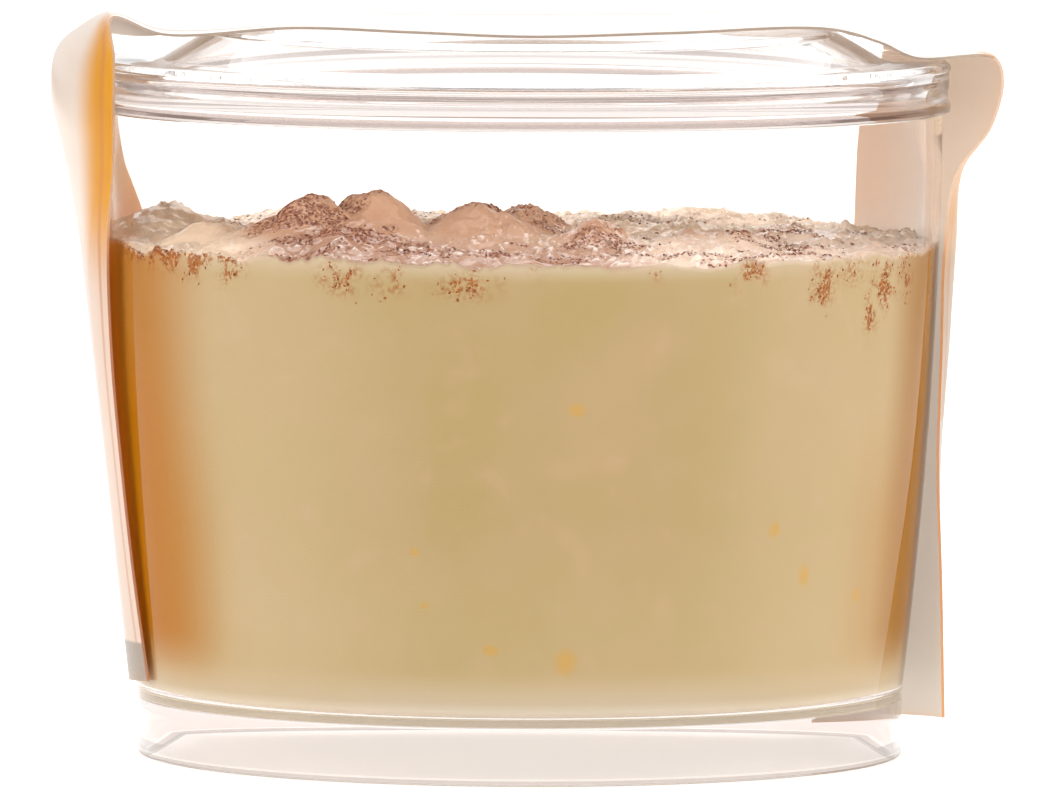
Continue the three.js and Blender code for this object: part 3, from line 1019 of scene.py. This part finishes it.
def rice_relief(x, y, reach):
    """How far the grains under the skin lift it, in millimetres."""
    draw = np.random.default_rng(SEED)
    relief = np.zeros_like(x)
    for _ in range(RICE_GRAINS):
        radius = reach * math.sqrt(draw.random())
        angle = draw.uniform(0, 2 * math.pi)
        turn = draw.uniform(0, math.pi)
        size = draw.uniform(*RICE_SIZES)
        rise = RICE_RISE * draw.uniform(*RICE_RISES)
        dx, dy = x - radius * math.cos(angle), y - radius * math.sin(angle)
        along = (dx * math.cos(turn) + dy * math.sin(turn)) / (RICE_HALF[0] * size)
        sideways = (dy * math.cos(turn) - dx * math.sin(turn)) / (RICE_HALF[1] * size)
        relief = np.maximum(relief, rise * np.exp(-((along**2 + sideways**2) ** RICE_ROUND)))
    return relief


def wall_spice(angle, height):
    """Amount of cinnamon at points of the side, from the clusters on the wall."""
    amount = np.zeros_like(angle)
    for middle, level, half_width, half_height, share in WALL_CINNAMON:
        arc_gap = np.radians(np.degrees(angle) - middle) * (WALL_TOP_R / MM)
        reach = (arc_gap / half_width) ** 2 + ((height - level) / half_height) ** 2
        amount = np.maximum(amount, share * np.exp(-reach * WALL_FALL))
    clumps = smoothstep(*CLUMP_RANGE, fractal(angle * WALL_TOP_R / MM, height, *WALL_CLUMPS))
    return amount * clumps * WALL_SPICE


def skin_relief(x, y, shares, reach):
    """Height of the surface, how far it is raised into mounds, and how sharply its skin is ridged."""
    mounds = mound_relief(x, y)
    rim = smoothstep(RIM_FROM, 1.0, shares)[:, None]
    raised = smoothstep(*RAISED, mounds)
    ridges = np.clip(1 - RIDGE_NARROW * np.abs(fractal(x, y, *RIDGES)), 0, 1) ** RIDGE_POWER
    lumps = LUMP_RISE * fractal(x, y, *LUMPS) + FINE_LUMP_RISE * fractal(x, y, *FINE_LUMPS)
    surface = PUDDING_Z / MM + mounds - RIM_SINK * rim
    surface = surface + rice_relief(x, y, reach) * (1 - RIM_RICE_LOSS * rim)
    surface = surface + WRINKLE_RISE * fractal(x, y, *WRINKLES)
    surface = surface + FINE_WRINKLE_RISE * fractal(x, y, *FINE_WRINKLES)
    surface = surface + RIDGE_RISE * ridges * (1 - RIDGE_MOUND_LOSS * raised)
    surface = surface + raised * (lumps - LUMP_SINK) - SKIN_SINK
    return surface, raised, ridges


def skin_film_and_glints(x, y, raised, ridges):
    """Amount of whitish film with painted wet glints, which gathers on the skin's ridges."""
    in_front = smoothstep(*FILM_GLINT_FRONT, -y)
    off_left = 1 - FILM_GLINT_LEFT_LOSS * smoothstep(*FILM_GLINT_LEFT, x)
    return ridges * (1 - FILM_GLINT_MOUND_LOSS * raised) * in_front * off_left


def surface_spice(x, y, raised):
    """Amount of cinnamon on the surface."""
    drifts = fractal(x * DRIFT_STRETCH[0], y * DRIFT_STRETCH[1], *SPICE_DRIFTS) * DRIFT_SHARE
    spots = SPOT_SHARE * fractal(x * SPOT_STRETCH[0], y * SPOT_STRETCH[1], *SPICE_SPOTS)
    spice = drifts + spots + SPICE_FRONT_SHARE * smoothstep(*SPICE_FRONT, -y)
    dusted = smoothstep(*SPICE_RANGE, spice + SPICE_MOUND_SHARE * raised - SPICE_LESS)
    return dusted * smoothstep(*SPICE_LEFT, x) * (1 - SPICE_BACK_LOSS * smoothstep(*SPICE_BACK, y))


def ring_faces(rings, steps):
    """Faces of a closed body of rings of points, between one point below them and one above."""
    around = np.arange(steps)
    after = (around + 1) % steps
    faces = list(zip(np.zeros_like(around), 1 + after, 1 + around))
    for ring in range(rings - 1):
        low, high = 1 + ring * steps, 1 + (ring + 1) * steps
        faces.extend(zip(low + around, low + after, high + after, high + around))
    tip = 1 + (rings - 1) * steps
    faces.extend(zip(tip + around, tip + after, np.full_like(around, tip + steps)))
    return [tuple(int(i) for i in face) for face in faces]


def pudding_mesh():
    """The pudding as rings from the floor up the wall and in across its uneven surface."""
    turn = 2 * np.pi * np.arange(PUDDING_STEPS) / PUDDING_STEPS
    cosine, sine = np.cos(turn), np.sin(turn)
    front = np.arctan2(cosine, -sine)
    top_r = (wall_radius(PUDDING_Z) - WALL + BITE) / MM
    shares = 1 - (np.arange(TOP_RINGS) / TOP_RINGS)
    x = top_r * np.outer(shares, cosine)
    y = top_r * np.outer(shares, sine)
    surface, raised, ridges = skin_relief(x, y, shares, top_r)
    film = skin_film_and_glints(x, y, raised, ridges)
    dusted = surface_spice(x, y, raised)
    floor_r = (WALL_FOOT_R - WALL - FLOOR_FILLET) / MM
    floor_z = (FLOOR_Z - BITE) / MM
    base = floor_z + FLOOR_FILLET / MM
    coarse = np.linspace(0, COARSE_SHARE, COARSE_RINGS, endpoint=False)
    lows = np.concatenate([coarse, np.linspace(COARSE_SHARE, 1, SIDE_RINGS - COARSE_RINGS)])
    side_z = base + np.outer(lows, surface[0] - base)
    side_r = np.vectorize(lambda z: (wall_radius(z * MM) - WALL + BITE) / MM)(side_z)
    points = [
        np.array([[0, 0, floor_z]]),
        np.stack([floor_r * cosine, floor_r * sine, np.full_like(turn, floor_z)], -1),
        np.stack([side_r * cosine, side_r * sine, side_z], -1).reshape(-1, 3),
        np.stack([x, y, surface], -1)[1:].reshape(-1, 3),
        np.array([[0, 0, surface[-1].mean()]]),
    ]
    positions = np.concatenate(points) * MM
    mesh = bpy.data.meshes.new("pudding_body")
    mesh.from_pydata(positions.tolist(), [], ring_faces(SIDE_RINGS + TOP_RINGS, PUDDING_STEPS))
    below = np.zeros(1 + PUDDING_STEPS)
    side_top = np.zeros_like(side_z)
    side_top[-1] = RIM_TOP
    side_spice = wall_spice(np.broadcast_to(front, side_z.shape), side_z)
    for name, at_side, on_top, at_tip in (
        ("cinnamon", side_spice, dusted[1:], dusted[-1].mean()),
        ("top", side_top, np.ones_like(x[1:]), 1),
        ("film", np.zeros_like(side_z), film[1:], 0),
    ):
        values = np.concatenate([below, at_side.ravel(), on_top.ravel(), [at_tip]])
        mesh.attributes.new(name, "FLOAT", "POINT").data.foreach_set("value", values.astype(np.float32))
    mesh.shade_smooth()
    return mesh


def drawn(tree, low, high, seed):
    """A random number between two values, for each point."""
    inputs = {2: low, 3: high, "Seed": seed}
    return add(tree, "FunctionNodeRandomValue", inputs, data_type="FLOAT").outputs[1]


def powder_tree():
    """Geometry tree that strews crumbs over a mesh, as thickly as its cinnamon attribute says."""
    sockets = {
        "Surface": "Geometry",
        "Crumbs": "Float",
        "Least Size": "Float",
        "Most Size": "Float",
        "Seed": "Int",
        "Finish": "Material",
    }
    tree, given = new_group("strewn_powder", "GeometryNodeTree", sockets, ("Powder", "Geometry"))
    amount = add(tree, "GeometryNodeInputNamedAttribute", {"Name": "cinnamon"}, data_type="FLOAT")
    gathered = calc(tree, "POWER", amount.outputs[0], CRUMB_GATHER)
    density = times(tree, gathered, given["Crumbs"])
    inputs = {"Mesh": given["Surface"], "Density": density, "Seed": given["Seed"]}
    spread = add(tree, "GeometryNodeDistributePointsOnFaces", inputs, distribute_method="RANDOM")
    crumb = add(tree, "GeometryNodeMeshIcoSphere", {"Radius": 1.0, "Subdivisions": 1}).outputs["Mesh"]
    length = drawn(tree, given["Least Size"], given["Most Size"], given["Seed"])
    width = times(tree, length, drawn(tree, *CRUMB_WIDTHS, WIDTH_SEED))
    height = times(tree, length, CRUMB_HEIGHT)
    scale = vector(tree, length, width, height)
    angle = drawn(tree, 0.0, 2 * math.pi, SPIN_SEED)
    spin = add(tree, "FunctionNodeAxisAngleToRotation", {"Axis": (0, 0, 1), "Angle": angle}).outputs[0]
    turns = {"Rotation": spread.outputs["Rotation"], "Rotate By": spin}
    turned = add(tree, "FunctionNodeRotateRotation", turns, rotation_space="LOCAL").outputs[0]
    inputs = {"Points": spread.outputs["Points"], "Instance": crumb, "Rotation": turned, "Scale": scale}
    crumbs = add(tree, "GeometryNodeInstanceOnPoints", inputs).outputs[0]
    return handed_out(tree, "Powder", crumbs, given["Finish"])


# Label band


def across(share, front, middle, back):
    """Value between front, middle and back of the band, on one smooth curve."""
    bend = front - 2 * middle + back
    return front + (4 * middle - 3 * front - back) * share + 2 * bend * share * share


def band_lean(z, left_share):
    """How far the band leans to the front at a height, all of it at its left and none at its right."""
    return BAND_LEAN * smoothstep(LEAN_FROM_Z, LEAN_TO_Z, z) * left_share


def tub_radius(z):
    """Radius of the closed tub at a height: the wall, or the lid's skirt where that covers it."""
    hem = LID_HEM_Z / MM
    covered = smoothstep(hem - HEM_STEP, hem, z)
    wall = wall_radius(z * MM) / MM
    return wall + (LID_R / MM - wall) * covered


def band_stations(share):
    """Points on one lengthwise line of the band, from its left end over the lid to its right end."""
    straight_y = BAND_SETBACK + BAND_WIDTH * (share - 0.5)
    drop = HEM_SLOPE * BAND_WIDTH * (share - 0.5)

    def side(sign, left_share, row):
        z = row[0]
        y = straight_y + band_lean(z, left_share)
        reach = math.sqrt(tub_radius(z) ** 2 - y * y) + across(share, *row[1:])
        return [sign * reach, y, z]

    left = [side(-1, 1, row) for row in BAND_LEFT]
    right = [side(1, 0, row) for row in BAND_RIGHT]
    left[0][2] += drop
    right[-1][2] += drop
    top = []
    for row in BAND_TOP:
        z = across(share, *row[1:])
        lean = band_lean(z, 0.5 - row[0] * MM / (2 * LID_R))
        top.append([row[0], straight_y + lean, z])
    return np.array(left + top + right)


def smooth_line(stations, steps):
    """A smooth line through stations, with even steps between neighbours and no overshoot."""
    padded = np.vstack([2 * stations[0] - stations[1], stations, 2 * stations[-1] - stations[-2]])
    spans = len(stations) - 1
    points = []
    for i in range(steps + 1):
        at = spans * i / steps
        k = min(int(at), spans - 1)
        t = at - k
        p0, p1, p2, p3 = padded[k : k + 4]
        d0, d1, d2 = (np.linalg.norm(b - a) ** 0.5 for a, b in ((p0, p1), (p1, p2), (p2, p3)))
        m1 = d1 * ((p1 - p0) / d0 - (p2 - p0) / (d0 + d1) + (p2 - p1) / d1)
        m2 = d1 * ((p2 - p1) / d1 - (p3 - p1) / (d1 + d2) + (p3 - p2) / d2)
        c2 = -3 * p1 + 3 * p2 - 2 * m1 - m2
        c3 = 2 * p1 - 2 * p2 + m1 + m2
        points.append(p1 + m1 * t + c2 * t**2 + c3 * t**3)
    return np.array(points)


def band_mesh(finishes):
    """The band as a thin closed sheet, with a map of how far each point is along and across it.

    The finishes are those of its outside and inside, zone by zone from its left end.
    """
    lines = [smooth_line(band_stations(i / BAND_STRIPS), BAND_STEPS) for i in range(BAND_STRIPS + 1)]
    sheet = np.array(lines)
    run = np.gradient(sheet, axis=1)
    over = np.gradient(sheet, axis=0)
    normal = np.cross(run, over)
    normal /= np.linalg.norm(normal, axis=-1, keepdims=True)
    outer = sheet + normal * BAND_THICK / 2
    inner = sheet - normal * BAND_THICK / 2
    columns = BAND_STEPS + 1
    half = (BAND_STRIPS + 1) * columns
    positions = np.concatenate([outer.reshape(-1, 3), inner.reshape(-1, 3)]) * MM

    def at(i, j):
        return i * columns + j

    zone_starts = [BAND_STEPS * first // BAND_SPANS for first, *_ in BAND_ZONES.values()]
    faces, finish_of = [], []
    for i in range(BAND_STRIPS):
        for j in range(BAND_STEPS):
            quad = (at(i, j), at(i, j + 1), at(i + 1, j + 1), at(i + 1, j))
            faces.append(quad)
            faces.append(tuple(half + k for k in reversed(quad)))
            zone = sum(j >= start for start in zone_starts) - 1
            finish_of += [2 * zone, 2 * zone + 1]
    rim = [at(0, j) for j in range(columns)]
    rim += [at(i, BAND_STEPS) for i in range(1, BAND_STRIPS + 1)]
    rim += [at(BAND_STRIPS, j) for j in range(BAND_STEPS - 1, -1, -1)]
    rim += [at(i, 0) for i in range(BAND_STRIPS - 1, 0, -1)]
    for a, b in zip(rim, rim[1:] + rim[:1]):
        faces.append((b, a, half + a, half + b))
        finish_of.append(RIM_FINISH)
    mesh = bpy.data.meshes.new("label_band")
    mesh.from_pydata(positions.tolist(), [], faces)
    for finish in finishes:
        mesh.materials.append(finish)
    mesh.polygons.foreach_set("material_index", finish_of)
    middle = sheet[BAND_STRIPS // 2]
    lengths = np.concatenate([[0], np.cumsum(np.linalg.norm(np.diff(middle, axis=0), axis=1))])
    along = np.tile(lengths / lengths[-1], BAND_STRIPS + 1)
    sideways = np.repeat(np.linspace(0, 1, BAND_STRIPS + 1), columns)
    flat = np.tile(np.stack([along, sideways], -1), (2, 1))
    loops = np.zeros(len(mesh.loops), np.int32)
    mesh.loops.foreach_get("vertex_index", loops)
    layer = mesh.uv_layers.new(name="along")
    layer.data.foreach_set("uv", flat[loops].astype(np.float32).ravel())
    mesh.shade_smooth()
    mesh.set_sharp_from_angle(angle=BAND_SHARP)
    return mesh


# Stage


def stage_floor():
    """A pale glowing floor, duller far to the left and right."""
    low, high, top = -FLOOR_HALF, FLOOR_HALF, FLOOR_TOP
    corners = [(low, low, top), (high, low, top), (high, high, top), (low, high, top)]
    mesh = bpy.data.meshes.new("studio_floor")
    mesh.from_pydata(corners, [], [(0, 1, 2, 3)])
    floor = linked("studio_floor", mesh)
    material, tree = new_material("studio_floor")
    aside = calc(tree, "ABSOLUTE", parts_of(tree, place(tree))["X"])
    dull = ramp(tree, aside, *FLOOR_DULL)
    inputs = {
        "Base Color": shades(tree, dull, FLOOR_SHADES),
        "Roughness": 0.9,
        "Emission Color": (1.0, 0.98, 0.96, 1.0),
        "Emission Strength": calc(tree, "MULTIPLY_ADD", dull, -FLOOR_GLOW, FLOOR_GLOW),
    }
    mesh.materials.append(finished(material, principled(tree, inputs)))


def surround():
    """A soft surround: grey all round, white above, and bright where the backdrop is."""
    world = bpy.data.worlds.new("studio")
    bpy.context.scene.world = world
    world.use_nodes = True
    tree = world.node_tree
    tree.nodes.clear()
    towards = parts_of(tree, add(tree, "ShaderNodeTexCoord").outputs["Generated"])
    around = tint(tree, ramp(tree, towards["Y"], *GREY_CHANGE), *GREYS)
    above = tint(tree, ramp(tree, towards["Z"], *ABOVE_FROM), around, ABOVE)
    colour = tint(tree, ramp(tree, towards["Y"], *BACKDROP_FROM), above, BACKDROP)
    glow = add(tree, "ShaderNodeBackground", {"Color": colour, "Strength": 1.0}).outputs[0]
    add(tree, "ShaderNodeOutputWorld", {"Surface": glow})


def soft_lamps():
    """Three soft lamps."""
    for name, (spot, width, power) in LAMPS.items():
        data = bpy.data.lights.new(name, "AREA")
        data.size = width
        data.energy = power
        lamp = linked(name, data)
        lamp.location = spot
        lamp.rotation_euler = (LAMP_AIM - Vector(spot)).to_track_quat("-Z", "Y").to_euler()


def studio():
    """Floor, surround and lamps, and how light is followed."""
    scene = bpy.context.scene
    scene.view_settings.view_transform = "Standard"
    set_all(scene.cycles, BOUNCES)
    stage_floor()
    surround()
    soft_lamps()


def camera():
    """The camera, a little rolled."""
    data = bpy.data.cameras.new("camera")
    set_all(data, CAMERA_SETTINGS)
    eye = linked("camera", data)
    spot = Vector((math.sin(CAMERA_SIDE) * CAMERA_AWAY, -math.cos(CAMERA_SIDE) * CAMERA_AWAY, CAMERA_Z))
    look = (CAMERA_AIM - spot).to_track_quat("-Z", "Y").to_matrix().to_4x4()
    eye.matrix_world = Matrix.Translation(spot) @ look @ Matrix.Rotation(CAMERA_ROLL, 4, "Z")
    bpy.context.scene.camera = eye


turning = turning_tree()
for name, outline, node, bend, haze in (
    ("clear_cup", cup_outline(), "cup", CUP_BEND, CUP_HAZE),
    ("clear_lid", lid_outline(), "lid", LID_BEND, LID_HAZE),
):
    finish = clear_plastic(name, bend, haze)
    turned = grown(name, turning, chain(name, outline), steps_around=TURN_STEPS, finish=finish)
    put(name, turned, name, node)

pudding = pudding_mesh()
pudding.materials.append(pudding_cream())
powder = grown(
    "cinnamon_powder",
    powder_tree(),
    pudding.copy(),
    crumbs=CRUMBS,
    least_size=CRUMB_SIZES[0],
    most_size=CRUMB_SIZES[1],
    seed=SEED,
    finish=cinnamon_powder(),
)
put("rice_pudding", pudding, "pudding", "pudding")
put("cinnamon_powder", powder, "pudding")
ends = bare_ends_group()
band_finishes = []
for zone, (_, through_print, through_back) in BAND_ZONES.items():
    band_finishes.append(label_print("label_print_" + zone, ends, *through_print))
    band_finishes.append(label_back("label_back_" + zone, ends, *through_back))
put("label_band", band_mesh(band_finishes), "label", "band")

studio()
camera()
